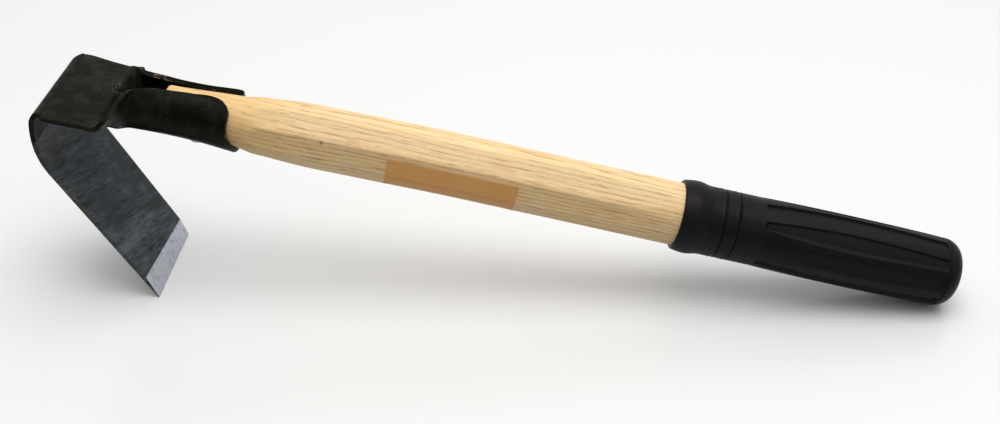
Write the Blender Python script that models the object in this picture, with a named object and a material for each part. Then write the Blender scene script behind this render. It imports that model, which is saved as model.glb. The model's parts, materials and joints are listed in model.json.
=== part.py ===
# Hand hoe: a forged strap head with a rolled open socket, an ash handle,
# a fluted rubber grip, a plain paper label and the screw that holds the socket.
# Metres, +Z up.  The tool is drawn with its handle along X, then laid on the
# ground as it rests: on its cutting edge and on the end of its grip.
import math

import bmesh
import bpy
import numpy as np
from mathutils import Matrix, Vector

# Clearance between pieces that touch on the real tool
FIT_GAP = 0.0003

# Handle, measured from the socket mouth (x = 0) towards the grip
HANDLE_RADIUS = 0.0139
HANDLE_TAPER_LENGTH = 0.0365
HANDLE_MOUTH_RADIUS = 0.0107
HANDLE_SHOULDER_LENGTH = 0.0050
HANDLE_SHOULDER_RADIUS = 0.0120
HANDLE_BARE_LENGTH = 0.1930
HANDLE_FLAT_DEPTH = 0.00035
HANDLE_FLAT_TURN = math.radians(6)
SPIGOT_RADIUS = 0.0131
TENON_LENGTH = 0.0335
TENON_TIP_RADIUS = 0.0090

# Rolled socket; its axis lies a little below the handle's
SOCKET_DROP = 0.0014
SOCKET_LENGTH = 0.0510
STRAP_THICKNESS = 0.0021
SOCKET_FRONT_RADIUS = 0.0124
SOCKET_DIP = 0.0011
SOCKET_NEAR_EDGE_ANGLE = math.radians(150)
SOCKET_FAR_EDGE_ANGLE = math.radians(140)
SOCKET_FRONT_EDGE_ANGLE = math.radians(140)
SOCKET_LIP_SLANT = 0.0055
SOCKET_CORNER_RADIUS = 0.0065

# Flat neck between socket and bend
NECK_DROP = 0.0018
NECK_LENGTH = 0.0269
NECK_HALF_WIDTH = 0.0284
WAIST_DEPTH = 0.0020
ROLL_LENGTH = 0.0120
ROLL_LEAD = 0.0050
SINK_LENGTH = 0.0080
SINK_LEAD = 0.0010

# Bend and blade
BEND_RADIUS = 0.0038
BEND_HALF_WIDTH = 0.0273
BEND_CORNER = 0.0012
CURL_RADIUS = 0.0388
CURL_ANGLE = math.radians(41)
BLADE_LENGTH = 0.0736
BLADE_ROOT_HALF_WIDTH = 0.0259
EDGE_HALF_WIDTH = 0.0243
BEVEL_LENGTH = 0.0105
EDGE_THICKNESS = 0.0005

# Grip
GRIP_LENGTH = 0.1277
GRIP_RIM_RADIUS = 0.0155
GRIP_FLARE_RADIUS = 0.0163
GRIP_FLARE_LENGTH = 0.0130
GRIP_NECK_RADIUS = 0.0153
GRIP_BODY_RADIUS = 0.0161
GRIP_TAIL_RADIUS = 0.0153
GRIP_END_RADIUS = 0.0085
GRIP_END_WALL = 0.0045
RING_POSITIONS = (0.0185, 0.0247)
RING_WIDTH = 0.0012
RING_DEPTH = 0.0006
FLUTE_COUNT = 10
FLUTE_START = 0.0360
GRIP_LIP_LENGTH = 0.0087
FLUTE_LENGTH = GRIP_LENGTH - FLUTE_START - GRIP_LIP_LENGTH
FLUTE_DEPTH = 0.0008
FLUTE_END_HALF_ANGLE = math.radians(5.0)
FLUTE_MID_HALF_ANGLE = math.radians(13.5)
FLUTE_WALL_ANGLE = math.radians(1.2)
FLUTE_PHASE = math.radians(44)

# Paper label on the near side of the handle
LABEL_START = 0.0645
LABEL_LENGTH = 0.0570
LABEL_TOP_ANGLE = math.radians(18)
LABEL_BOTTOM_ANGLE = math.radians(-49)
LABEL_THICKNESS = 0.0003

# Wood screw through the floor of the socket
SCREW_SETBACK = 0.0190
SCREW_RADIUS = 0.0017
SCREW_LENGTH = 0.0130
SCREW_HEAD_RADIUS = 0.0035
SCREW_HEAD_HEIGHT = 0.0018
SCREW_SLOT_WIDTH = 0.0008
SCREW_SLOT_DEPTH = 0.0007

HANDLE_SIDES = 48
STRAP_COLUMNS = 20


def smooth(value):
    value = min(1.0, max(0.0, value))
    return value * value * (3 - 2 * value)


def mix(start, end, share):
    return start + (end - start) * share


def steps(start, end, count):
    return [mix(start, end, i / count) for i in range(count + 1)]


def clear_scene():
    for old in list(bpy.data.objects):
        bpy.data.objects.remove(old, do_unlink=True)


def material(name, colour, roughness, metallic=0.0):
    mat = bpy.data.materials.new(name)
    mat.use_nodes = True
    shader = mat.node_tree.nodes["Principled BSDF"]
    shader.inputs["Base Color"].default_value = (*colour, 1.0)
    shader.inputs["Roughness"].default_value = roughness
    shader.inputs["Metallic"].default_value = metallic
    return mat


def piece(name, mesh_builder, mat, smooth_angle=35):
    mesh = bpy.data.meshes.new(name)
    bmesh.ops.recalc_face_normals(mesh_builder, faces=mesh_builder.faces)
    mesh_builder.to_mesh(mesh)
    mesh_builder.free()
    mesh.materials.append(mat)
    mesh.shade_smooth()
    mesh.set_sharp_from_angle(angle=math.radians(smooth_angle))
    obj = bpy.data.objects.new(name, mesh)
    bpy.context.scene.collection.objects.link(obj)
    return obj


def add_ring_grid(bm, rings, cap_first=True, cap_last=True):
    rows = [[bm.verts.new(point) for point in ring] for ring in rings]
    for low, high in zip(rows, rows[1:]):
        for i in range(len(low)):
            j = (i + 1) % len(low)
            bm.faces.new((low[i], low[j], high[j], high[i]))
    if cap_first:
        bm.faces.new(rows[0])
    if cap_last:
        bm.faces.new(rows[-1])
    return rows


# Handle and grip share one angle: 0 is the near side (-Y), a quarter turn is up.
def around(x, radius, angle):
    return Vector((x, -radius * math.cos(angle), radius * math.sin(angle)))


# Handle radius at a distance x behind the socket mouth
def handle_radius(x):
    if x <= 0:
        return mix(HANDLE_MOUTH_RADIUS, TENON_TIP_RADIUS, -x / TENON_LENGTH)
    if x < HANDLE_SHOULDER_LENGTH:
        return mix(HANDLE_MOUTH_RADIUS, HANDLE_SHOULDER_RADIUS, smooth(x / HANDLE_SHOULDER_LENGTH))
    if x < HANDLE_TAPER_LENGTH:
        share = (x - HANDLE_SHOULDER_LENGTH) / (HANDLE_TAPER_LENGTH - HANDLE_SHOULDER_LENGTH)
        return mix(HANDLE_SHOULDER_RADIUS, HANDLE_RADIUS, math.sin(share * math.pi / 2))
    return HANDLE_RADIUS


# The wood leans down to the socket's axis over its taper.
def handle_point(x, radius, angle):
    return around(x, radius, angle) - Vector((0, 0, SOCKET_DROP * smooth(1 - x / HANDLE_TAPER_LENGTH)))


# The bare wood is an eight-sided section with soft corners that fades out at both ends.
def handle_surface(x, angle):
    ends = smooth(x / HANDLE_TAPER_LENGTH) * smooth((HANDLE_BARE_LENGTH - x) / HANDLE_TAPER_LENGTH)
    facet = (1 + math.cos(8 * (angle - HANDLE_FLAT_TURN))) / 2
    return handle_radius(x) - HANDLE_FLAT_DEPTH * ends * facet


def make_handle(mat):
    stations = [-TENON_LENGTH, -TENON_LENGTH / 2]
    stations += steps(0, HANDLE_SHOULDER_LENGTH, 4)
    stations += steps(HANDLE_SHOULDER_LENGTH, HANDLE_TAPER_LENGTH, 6)[1:]
    stations += steps(HANDLE_TAPER_LENGTH, HANDLE_BARE_LENGTH - HANDLE_TAPER_LENGTH, 3)[1:]
    stations += steps(HANDLE_BARE_LENGTH - HANDLE_TAPER_LENGTH, HANDLE_BARE_LENGTH, 4)[1:]
    turns = [2 * math.pi * i / HANDLE_SIDES for i in range(HANDLE_SIDES)]
    rings = [[handle_point(x, handle_surface(x, t), t) for t in turns] for x in stations]
    spigot_end = HANDLE_BARE_LENGTH + GRIP_LENGTH - GRIP_END_WALL - FIT_GAP
    for x in (HANDLE_BARE_LENGTH, spigot_end):
        rings.append([around(x, SPIGOT_RADIUS, t) for t in turns])
    bm = bmesh.new()
    add_ring_grid(bm, rings)
    return piece("handle", bm, mat)


# Outer radius of the grip at a distance from its front rim, without grooves
def grip_radius(x):
    tail = FLUTE_START + FLUTE_LENGTH
    if x < GRIP_FLARE_LENGTH / 2:
        return mix(GRIP_RIM_RADIUS, GRIP_FLARE_RADIUS, math.sin(math.pi * x / GRIP_FLARE_LENGTH))
    if x < GRIP_FLARE_LENGTH:
        share = 2 * x / GRIP_FLARE_LENGTH - 1
        return mix(GRIP_FLARE_RADIUS, GRIP_NECK_RADIUS, smooth(share))
    if x < FLUTE_START:
        return GRIP_NECK_RADIUS
    if x < tail:
        share = (x - FLUTE_START) / FLUTE_LENGTH
        base = mix(GRIP_NECK_RADIUS, GRIP_TAIL_RADIUS, share)
        crown = GRIP_BODY_RADIUS - (GRIP_NECK_RADIUS + GRIP_TAIL_RADIUS) / 2
        return base + crown * math.sin(math.pi * share) ** 0.8
    share = min(1.0, (x - tail) / (GRIP_LENGTH - tail))
    return mix(GRIP_END_RADIUS, GRIP_TAIL_RADIUS, math.sqrt(1 - share ** 2.2))


def flute_half_angle(x):
    share = min(1.0, max(0.0, (x - FLUTE_START) / FLUTE_LENGTH))
    return mix(FLUTE_END_HALF_ANGLE, FLUTE_MID_HALF_ANGLE, math.sin(math.pi * share))


# One turn of the grip: every flute has a rib crest, two walls and a floor.
def grip_ring(front, x, depth, sunk=0.0):
    radius = grip_radius(x) - sunk
    pitch = 2 * math.pi / FLUTE_COUNT
    half = flute_half_angle(x)
    profile = (
        (-pitch / 2, 0.0),
        (-half, 0.0),
        (-half + FLUTE_WALL_ANGLE, depth),
        (0.0, depth),
        (half - FLUTE_WALL_ANGLE, depth),
        (half, 0.0),
    )
    points = []
    for i in range(FLUTE_COUNT):
        centre = FLUTE_PHASE + pitch * i
        points += [around(front + x, radius - cut, centre + offset) for offset, cut in profile]
    return points


def make_grip(mat):
    front = HANDLE_BARE_LENGTH
    tail = FLUTE_START + FLUTE_LENGTH
    wall = RING_WIDTH / 4
    rows = [(x, 0.0, 0.0) for x in steps(0, GRIP_FLARE_LENGTH, 6)]
    for ring in RING_POSITIONS:
        rows.append((ring - RING_WIDTH / 2, 0.0, 0.0))
        rows.append((ring - wall, 0.0, RING_DEPTH))
        rows.append((ring + wall, 0.0, RING_DEPTH))
        rows.append((ring + RING_WIDTH / 2, 0.0, 0.0))
    rows.append((FLUTE_START, 0.0, 0.0))
    inset = FLUTE_DEPTH
    for x in steps(FLUTE_START + inset, tail - inset, 9):
        rows.append((x, FLUTE_DEPTH, 0.0))
    rows.append((tail, 0.0, 0.0))
    rows += [(tail + (GRIP_LENGTH - tail) * math.sin(i * math.pi / 12), 0.0, 0.0) for i in range(1, 7)]
    bore = SPIGOT_RADIUS + FIT_GAP
    bore_end = GRIP_LENGTH - GRIP_END_WALL
    outer = [grip_ring(front, x, depth, sunk) for x, depth, sunk in rows]
    turns = [math.atan2(point.z, -point.y) for point in outer[0]]
    inner = [[around(front + x, bore, t) for t in turns] for x in (bore_end, 0.0)]
    bm = bmesh.new()
    rings = add_ring_grid(bm, outer, cap_first=False)
    bores = add_ring_grid(bm, inner, cap_last=False)
    for i in range(len(turns)):
        j = (i + 1) % len(turns)
        bm.faces.new((bores[1][i], bores[1][j], rings[0][j], rings[0][i]))
    return piece("grip", bm, mat)


def make_label(mat):
    columns = 14
    rows = 8
    xs = steps(LABEL_START, LABEL_START + LABEL_LENGTH, rows)
    angles = steps(LABEL_BOTTOM_ANGLE, LABEL_TOP_ANGLE, columns)

    def skin(lift):
        return [[handle_point(x, handle_surface(x, a) + lift, a) for a in angles] for x in xs]

    bm = bmesh.new()
    add_sheet(bm, skin(FIT_GAP), skin(FIT_GAP + LABEL_THICKNESS))
    return piece("label", bm, mat)


# Close two matching grids of points into one thin solid.
def add_sheet(bm, inner, outer):
    low = [[bm.verts.new(point) for point in row] for row in inner]
    high = [[bm.verts.new(point) for point in row] for row in outer]
    last_row = len(low) - 1
    last_column = len(low[0]) - 1
    for i in range(last_row):
        for j in range(last_column):
            bm.faces.new((low[i][j], low[i][j + 1], low[i + 1][j + 1], low[i + 1][j]))
            bm.faces.new((high[i][j], high[i + 1][j], high[i + 1][j + 1], high[i][j + 1]))
        for j in (0, last_column):
            bm.faces.new((low[i][j], low[i + 1][j], high[i + 1][j], high[i][j]))
    for j in range(last_column):
        for i in (0, last_row):
            bm.faces.new((low[i][j], low[i][j + 1], high[i][j + 1], high[i][j]))


# Middle radius of the socket strap at a distance x (negative) ahead of its mouth
def socket_radius(x):
    mouth = HANDLE_MOUTH_RADIUS + FIT_GAP + STRAP_THICKNESS / 2
    tenon = handle_radius(x) + FIT_GAP + STRAP_THICKNESS / 2
    share = min(1.0, max(0.0, -x / SOCKET_LENGTH))
    dip = SOCKET_DIP * 4 * share * (1 - share)
    return max(tenon, mix(mouth, SOCKET_FRONT_RADIUS, share) - dip)


# The near flap is rolled further over the wood than the far one.
def edge_angle(u):
    return SOCKET_NEAR_EDGE_ANGLE if u < 0 else SOCKET_FAR_EDGE_ANGLE


# How far the socket mouth is cut back at an angle from the floor of the socket
def mouth_cut(angle):
    turned = min(1.0, abs(angle) / edge_angle(angle))
    cut = SOCKET_LIP_SLANT * smooth(turned)
    to_edge = (1 - turned) * edge_angle(angle) * (HANDLE_MOUTH_RADIUS + STRAP_THICKNESS)
    if to_edge < SOCKET_CORNER_RADIUS:
        inside = SOCKET_CORNER_RADIUS - to_edge
        cut += SOCKET_CORNER_RADIUS - math.sqrt(SOCKET_CORNER_RADIUS ** 2 - inside ** 2)
    return cut


# Half width of the flat strap ahead of the socket, by the distance from the socket front
def neck_half_width(distance):
    return mix(NECK_HALF_WIDTH, BEND_HALF_WIDTH, smooth(distance / NECK_LENGTH))


# Middle surface of the rolled part: x along the tool, u from -1 to 1 across the strap.
# The floor sinks first, then the strap is rolled up at its full width.
def rolled_point(x, u):
    start = -SOCKET_LENGTH - ROLL_LEAD
    rolled = smooth((x - start) / ROLL_LENGTH)
    sunk = smooth((x - start + SINK_LEAD) / SINK_LENGTH)
    opened = min(1.0, max(0.0, (x - start - ROLL_LENGTH) / (SOCKET_LENGTH * 0.5)))
    angle = u * mix(SOCKET_FRONT_EDGE_ANGLE, edge_angle(u), math.sin(opened * math.pi / 2))
    radius = socket_radius(x)
    reach = mix(u * neck_half_width(max(0.0, -SOCKET_LENGTH - x)), radius * angle, rolled)
    reach -= u * WAIST_DEPTH * smooth(1 - abs(x + SOCKET_LENGTH) / ROLL_LENGTH)
    floor = -mix(NECK_DROP, radius, sunk)
    curve = max(rolled, 0.0001) / radius
    point = Vector((x, math.sin(reach * curve) / curve, floor + (1 - math.cos(reach * curve)) / curve))
    point.x = x - mouth_cut(angle) * smooth(1 + x / (SOCKET_LENGTH / 2))
    return point


# Middle line of the flat part from the neck to the cutting edge:
# point, direction, half width and thickness at each station
def strap_line():
    neck_end = -SOCKET_LENGTH - NECK_LENGTH
    stations = []
    centre = Vector((neck_end, 0, -NECK_DROP - BEND_RADIUS))
    for turn in steps(0, math.pi / 2, 7)[1:]:
        point = centre + BEND_RADIUS * Vector((-math.sin(turn), 0, math.cos(turn)))
        bulge = BEND_CORNER * math.sin(2 * turn)
        stations.append((point, turn, BEND_HALF_WIDTH - bulge, STRAP_THICKNESS))
    centre = stations[-1][0] + Vector((CURL_RADIUS, 0, 0))
    for turn in steps(0, CURL_ANGLE, 6)[1:]:
        point = centre - CURL_RADIUS * Vector((math.cos(turn), 0, math.sin(turn)))
        width = mix(BEND_HALF_WIDTH, BLADE_ROOT_HALF_WIDTH, turn / CURL_ANGLE)
        stations.append((point, math.pi / 2 + turn, width, STRAP_THICKNESS))
    root = stations[-1][0]
    heading = math.pi / 2 + CURL_ANGLE
    ahead = Vector((-math.cos(heading), 0, -math.sin(heading)))
    bevel_start = BLADE_LENGTH - BEVEL_LENGTH
    for reach in steps(0, bevel_start, 3)[1:] + [BLADE_LENGTH]:
        width = mix(BLADE_ROOT_HALF_WIDTH, EDGE_HALF_WIDTH, reach / BLADE_LENGTH)
        ground = max(0.0, (reach - bevel_start) / BEVEL_LENGTH)
        thickness = mix(STRAP_THICKNESS, EDGE_THICKNESS, ground)
        stations.append((root + ahead * reach, heading, width, thickness))
    return stations


def make_head(mat):
    across = steps(-1, 1, STRAP_COLUMNS)
    top = []
    under = []
    # blade first, from the cutting edge up to the neck; the bevel is ground on the handle side
    for point, heading, width, thickness in reversed(strap_line()):
        normal = Vector((-math.sin(heading), 0, math.cos(heading)))
        outer = STRAP_THICKNESS / 2
        inner = outer - thickness
        top.append([point + normal * outer + Vector((0, u * width, 0)) for u in across])
        under.append([point + normal * inner + Vector((0, u * width, 0)) for u in across])
    neck_start = -SOCKET_LENGTH - ROLL_LEAD - SINK_LEAD
    roll_end = -SOCKET_LENGTH - ROLL_LEAD + ROLL_LENGTH
    xs = steps(-SOCKET_LENGTH - NECK_LENGTH, neck_start, 5)
    xs += steps(neck_start, roll_end, 13)[1:]
    xs += steps(roll_end, 0, 8)[1:]
    tiny = FIT_GAP / 3
    for x in xs:
        top_row = []
        under_row = []
        for u in across:
            point = rolled_point(x, u)
            along = rolled_point(x + tiny, u) - rolled_point(x - tiny, u)
            side = rolled_point(x, min(1.0, u + 0.01)) - rolled_point(x, max(-1.0, u - 0.01))
            side.x = 0
            along.x = 2 * tiny
            normal = along.cross(side).normalized()
            top_row.append(point + normal * (STRAP_THICKNESS / 2))
            under_row.append(point - normal * (STRAP_THICKNESS / 2))
        top.append(top_row)
        under.append(under_row)
    bm = bmesh.new()
    add_sheet(bm, under, top)
    bmesh.ops.translate(bm, verts=bm.verts, vec=(0, 0, -SOCKET_DROP))
    return piece("hoe_head", bm, mat, smooth_angle=40)


def screw_axis_point():
    x = -SCREW_SETBACK
    return Vector((x, 0, -SOCKET_DROP - socket_radius(x) - STRAP_THICKNESS / 2))


def cylinder(bm, radius, low, high, sides=20):
    turns = [2 * math.pi * i / sides for i in range(sides)]
    rings = [[Vector((radius * math.cos(t), radius * math.sin(t), z)) for t in turns] for z in (low, high)]
    add_ring_grid(bm, rings)


# Screw with its head below the socket floor and its shank up in the wood
def make_screw(mat):
    sides = 20
    turns = [2 * math.pi * i / sides for i in range(sides)]
    dome = [(SCREW_HEAD_RADIUS * 0.55, -SCREW_HEAD_HEIGHT), (SCREW_HEAD_RADIUS * 0.85, -SCREW_HEAD_HEIGHT * 0.7)]
    dome += [(SCREW_HEAD_RADIUS, -SCREW_HEAD_HEIGHT * 0.2), (SCREW_HEAD_RADIUS, 0.0)]
    shank = [(SCREW_RADIUS, 0.0), (SCREW_RADIUS, SCREW_LENGTH * 0.7), (SCREW_RADIUS * 0.2, SCREW_LENGTH)]
    rings = [[Vector((r * math.cos(t), r * math.sin(t), z)) for t in turns] for r, z in dome + shank]
    bm = bmesh.new()
    add_ring_grid(bm, rings)
    screw = piece("socket_screw", bm, mat)
    slot = bmesh.new()
    size = Vector((SCREW_SLOT_WIDTH, 3 * SCREW_HEAD_RADIUS, 2 * SCREW_SLOT_DEPTH))
    place = Matrix.Translation((0, 0, -SCREW_HEAD_HEIGHT))
    bmesh.ops.create_cube(slot, size=1.0, matrix=place @ Matrix.Diagonal((*size, 1.0)))
    cut(screw, cutter("screw_slot_cutter", slot))
    # the cone of the socket floor rises towards the front, so the head sits clear of its low side
    fall = (socket_radius(0.0) - socket_radius(-SOCKET_LENGTH)) / SOCKET_LENGTH
    screw.location = screw_axis_point() - Vector((0, 0, FIT_GAP + fall * SCREW_HEAD_RADIUS))
    return screw


def cutter(name, bm):
    mesh = bpy.data.meshes.new(name)
    bmesh.ops.recalc_face_normals(bm, faces=bm.faces)
    bm.to_mesh(mesh)
    bm.free()
    obj = bpy.data.objects.new(name, mesh)
    bpy.context.scene.collection.objects.link(obj)
    obj.hide_render = True
    obj.display_type = "WIRE"
    return obj


def cut(target, tool):
    modifier = target.modifiers.new("cut_" + tool.name, "BOOLEAN")
    modifier.operation = "DIFFERENCE"
    modifier.object = tool
    tool.parent = target


# Hole for the screw through the socket floor and up into the wood
def drill_for_screw(head, handle):
    point = screw_axis_point()
    for target in (head, handle):
        bm = bmesh.new()
        cylinder(bm, SCREW_RADIUS + FIT_GAP, -SCREW_HEAD_HEIGHT - FIT_GAP, SCREW_LENGTH + FIT_GAP)
        bmesh.ops.translate(bm, verts=bm.verts, vec=point)
        cut(target, cutter(target.name + "_screw_hole", bm))


# Tilt and shift that lay the tool on the ground on its cutting edge and grip end
def rest_frame(head, grip):
    head_points = np.array([v.co[:] for v in head.data.vertices])
    grip_points = np.array([v.co[:] for v in grip.data.vertices])
    edge = head_points[np.argmin(head_points[:, 2])]
    slope = np.min((grip_points[:, 2] - edge[2]) / (grip_points[:, 0] - edge[0]))
    tilt = Matrix.Rotation(math.atan(slope), 4, "Y")
    turned = np.array([(tilt @ Vector(p))[:] for p in np.vstack((head_points, grip_points))])
    low = turned.min(axis=0)
    high = turned.max(axis=0)
    middle = (low + high) / 2
    return Matrix.Translation((-middle[0], -middle[1], -low[2])) @ tilt


def main():
    clear_scene()
    steel = material("forged_steel", (0.014, 0.015, 0.013), 0.42, 0.3)
    ash = material("ash_wood", (0.80, 0.61, 0.38), 0.6)
    rubber = material("black_rubber", (0.018, 0.019, 0.019), 0.55)
    paper = material("tan_paper", (0.52, 0.31, 0.13), 0.65)
    zinc = material("screw_steel", (0.35, 0.35, 0.34), 0.35, 1.0)
    head = make_head(steel)
    handle = make_handle(ash)
    grip = make_grip(rubber)
    label = make_label(paper)
    screw = make_screw(zinc)
    drill_for_screw(head, handle)
    tool = bpy.data.objects.new("tool_axis", None)
    bpy.context.scene.collection.objects.link(tool)
    tool.matrix_world = rest_frame(head, grip)
    for obj in (head, handle, grip, label, screw):
        obj.parent = tool


main()
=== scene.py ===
# Looks of the hand hoe: forged head, ash handle, rubber grip, blank label and socket screw.
import json
import math

import bmesh
import bpy
from mathutils import Matrix, Vector, noise


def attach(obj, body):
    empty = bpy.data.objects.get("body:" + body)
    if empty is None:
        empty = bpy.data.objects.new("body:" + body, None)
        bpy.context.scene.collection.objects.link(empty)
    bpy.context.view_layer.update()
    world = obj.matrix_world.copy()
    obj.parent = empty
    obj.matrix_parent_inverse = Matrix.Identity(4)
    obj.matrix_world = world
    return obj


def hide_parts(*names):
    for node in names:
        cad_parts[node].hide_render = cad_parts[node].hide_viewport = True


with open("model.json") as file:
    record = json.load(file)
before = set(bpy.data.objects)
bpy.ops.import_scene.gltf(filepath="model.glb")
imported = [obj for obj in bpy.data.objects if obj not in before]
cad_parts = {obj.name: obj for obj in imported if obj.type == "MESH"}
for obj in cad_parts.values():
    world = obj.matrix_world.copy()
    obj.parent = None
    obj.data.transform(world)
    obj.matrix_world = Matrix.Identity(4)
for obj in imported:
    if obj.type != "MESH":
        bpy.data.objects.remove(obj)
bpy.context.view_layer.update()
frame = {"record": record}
print("frame loaded")


def smooth(value):
    value = min(1.0, max(0.0, value))
    return value * value * (3 - 2 * value)


def mix(start, end, share):
    return start + (end - start) * share


def steps(start, end, count):
    return [mix(start, end, i / count) for i in range(count + 1)]


# lengths run in metres along the handle's axis, from the socket's mouth towards the grip
handle = {
    "radius": 0.0139, "mouthRadius": 0.0115, "shoulder": (0.0100, 0.0129), "taper": 0.0365,
    "bareLength": 0.1930, "flatDepth": 0.00085, "flatTurn": math.radians(6), "flatStart": 0.012,
    "drop": 0.0014, "lean": 0.100, "topFlat": 0.08, "topFlatSpan": (-0.040, -0.028, 0.030),
    "tenon": (0.0335, 0.0090), "chamfer": 0.0006, "spigotRadius": 0.0131, "spigotGap": 0.0048,
    "ripple": 0.00008, "rippleScale": (40, 2), "sides": 128,
}
grip = {
    "length": 0.1277, "rim": 0.0155, "flare": 0.0163, "flareLength": 0.0130, "neck": 0.0153,
    "body": 0.0161, "tail": 0.0153, "endFlat": 0.0085, "bore": 0.0134, "endWall": 0.0045,
    "rimRound": 0.0004, "rimInset": 0.0005,
    "rings": (0.0185, 0.0247), "ringWidth": 0.0009, "ringDepth": 0.0006, "ringBead": 0.00015,
    "lipGroove": (0.0006, 0.0011, 0.00045),
    "flutes": 10, "start": 0.036, "run": 0.0838, "depth": 0.0011, "fluteFade": 0.0012,
    "endZone": 0.0016, "lipZone": 0.0014, "floorShare": 0.6, "wall": math.radians(2.4),
    "ramp": math.radians(6.0), "rampShare": 0.8,
    "startAngle": math.radians(7.0), "tailAngle": math.radians(10.0), "midAngle": math.radians(15.2),
    "phase": math.radians(46),
}
# the handle's axis in the resting tool is read from the flat on the grip's end
gripEnd = next(m for m in frame["record"]["mounts"] if m["name"] == "grip_end")
toolAxis = Vector(gripEnd["axis"])
toolOrigin = Vector(gripEnd["pos_m"]) - toolAxis * (handle["bareLength"] + grip["length"])
toolUp = toolAxis.cross(Vector((0, 1, 0)))
toolFrame = Matrix.Translation(toolOrigin) @ Matrix((toolAxis, (0, 1, 0), toolUp)).transposed().to_4x4()


def meshFrom(name, bm):
    mesh = bpy.data.meshes.new(name)
    bm.to_mesh(mesh)
    bm.free()
    return mesh


def addObject(name, data):
    added = bpy.data.objects.new(name, data)
    bpy.context.scene.collection.objects.link(added)
    return added


def makePiece(name, bm, materials, node, sharpAngle=35, bevel=0.0):
    bmesh.ops.recalc_face_normals(bm, faces=bm.faces)
    mesh = meshFrom(name, bm)
    for mat in materials:
        mesh.materials.append(mat)
    mesh.shade_smooth()
    mesh.set_sharp_from_angle(angle=math.radians(sharpAngle))
    piece = addObject(name, mesh)
    piece.matrix_world = toolFrame
    if bevel:
        rounding = piece.modifiers.new("softEdges", "BEVEL")
        rounding.width = bevel
        rounding.segments = 3
        rounding.limit_method = "ANGLE"
        rounding.angle_limit = math.radians(45)
    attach(piece, "root")
    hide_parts(node)
    print("made", name, len(mesh.polygons), "faces")
    return piece


def addRings(bm, rings, capFirst=True, capLast=True):
    rows = [[bm.verts.new(point) for point in ring] for ring in rings]
    for low, high in zip(rows, rows[1:]):
        for i in range(len(low)):
            j = (i + 1) % len(low)
            bm.faces.new((low[i], low[j], high[j], high[i]))
    if capFirst:
        bm.faces.new(rows[0])
    if capLast:
        bm.faces.new(rows[-1])
    return rows


def addSheet(bm, under, top):
    low = [[bm.verts.new(point) for point in row] for row in under]
    high = [[bm.verts.new(point) for point in row] for row in top]
    lastRow, lastColumn = len(low) - 1, len(low[0]) - 1
    for i in range(lastRow):
        for j in range(lastColumn):
            bm.faces.new((low[i][j], low[i][j + 1], low[i + 1][j + 1], low[i + 1][j]))
            bm.faces.new((high[i][j], high[i + 1][j], high[i + 1][j + 1], high[i][j + 1]))
        for j in (0, lastColumn):
            bm.faces.new((low[i][j], low[i + 1][j], high[i + 1][j], high[i][j]))
    for j in range(lastColumn):
        for i in (0, lastRow):
            bm.faces.new((low[i][j], low[i][j + 1], high[i][j + 1], high[i][j]))
    return low, high


# node helpers
def link(tree, source, target):
    tree.links.new(source, target)


def newGroup(name, inputs, outputs):
    tree = bpy.data.node_groups.new(name, "ShaderNodeTree")
    for label, kind, value in inputs:
        socket = tree.interface.new_socket(label, in_out="INPUT", socket_type=kind)
        if value is not None:
            socket.default_value = value
    for label, kind in outputs:
        tree.interface.new_socket(label, in_out="OUTPUT", socket_type=kind)
    return tree, tree.nodes.new("NodeGroupInput"), tree.nodes.new("NodeGroupOutput")


def put(tree, kind, values=None, **settings):
    node = tree.nodes.new(kind)
    for key, value in settings.items():
        setattr(node, key, value)
    for key, value in (values or {}).items():
        if isinstance(value, bpy.types.NodeSocket):
            tree.links.new(value, node.inputs[key])
        else:
            node.inputs[key].default_value = value
    return node


def math2(tree, operation, a, b=0.0):
    return put(tree, "ShaderNodeMath", {0: a, 1: b}, operation=operation).outputs[0]


def remap(tree, value, low, high, toLow=0.0, toHigh=1.0, smoothStep=False):
    node = put(tree, "ShaderNodeMapRange", {"Value": value, "From Min": low, "From Max": high,
                                            "To Min": toLow, "To Max": toHigh})
    if smoothStep:
        node.interpolation_type = "SMOOTHSTEP"
    return node.outputs["Result"]


def blendColour(tree, share, first, second):
    node = put(tree, "ShaderNodeMix", data_type="RGBA")
    for key, value in (("Factor_Float", share), ("A_Color", first), ("B_Color", second)):
        socket = next(s for s in node.inputs if s.identifier == key)
        if isinstance(value, bpy.types.NodeSocket):
            tree.links.new(value, socket)
        else:
            socket.default_value = value
    return next(s for s in node.outputs if s.identifier == "Result_Color")


# lays a colour over the base where the mask is set, at the given strength
def tint(tree, base, mask, strength, colour):
    return blendColour(tree, math2(tree, "MULTIPLY", mask, strength), base, colour)


def noiseField(tree, vector, scale, detail, roughness):
    node = put(tree, "ShaderNodeTexNoise", {"Vector": vector, "Scale": scale, "Detail": detail,
                                            "Roughness": roughness})
    return node.outputs["Fac"]


def distanceTo(tree, vector, point):
    return put(tree, "ShaderNodeVectorMath", {0: vector, 1: point}, operation="DISTANCE").outputs["Value"]


def dotWith(tree, vector, axis):
    return put(tree, "ShaderNodeVectorMath", {0: vector, 1: axis}, operation="DOT_PRODUCT").outputs["Value"]


def stretched(tree, vector, factors):
    return put(tree, "ShaderNodeMapping", {"Vector": vector, "Scale": factors}).outputs["Vector"]


def srgb(red, green, blue):
    def line(value):
        value /= 255
        return value / 12.92 if value <= 0.04045 else ((value + 0.055) / 1.055) ** 2.4
    return (line(red), line(green), line(blue), 1.0)


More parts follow.
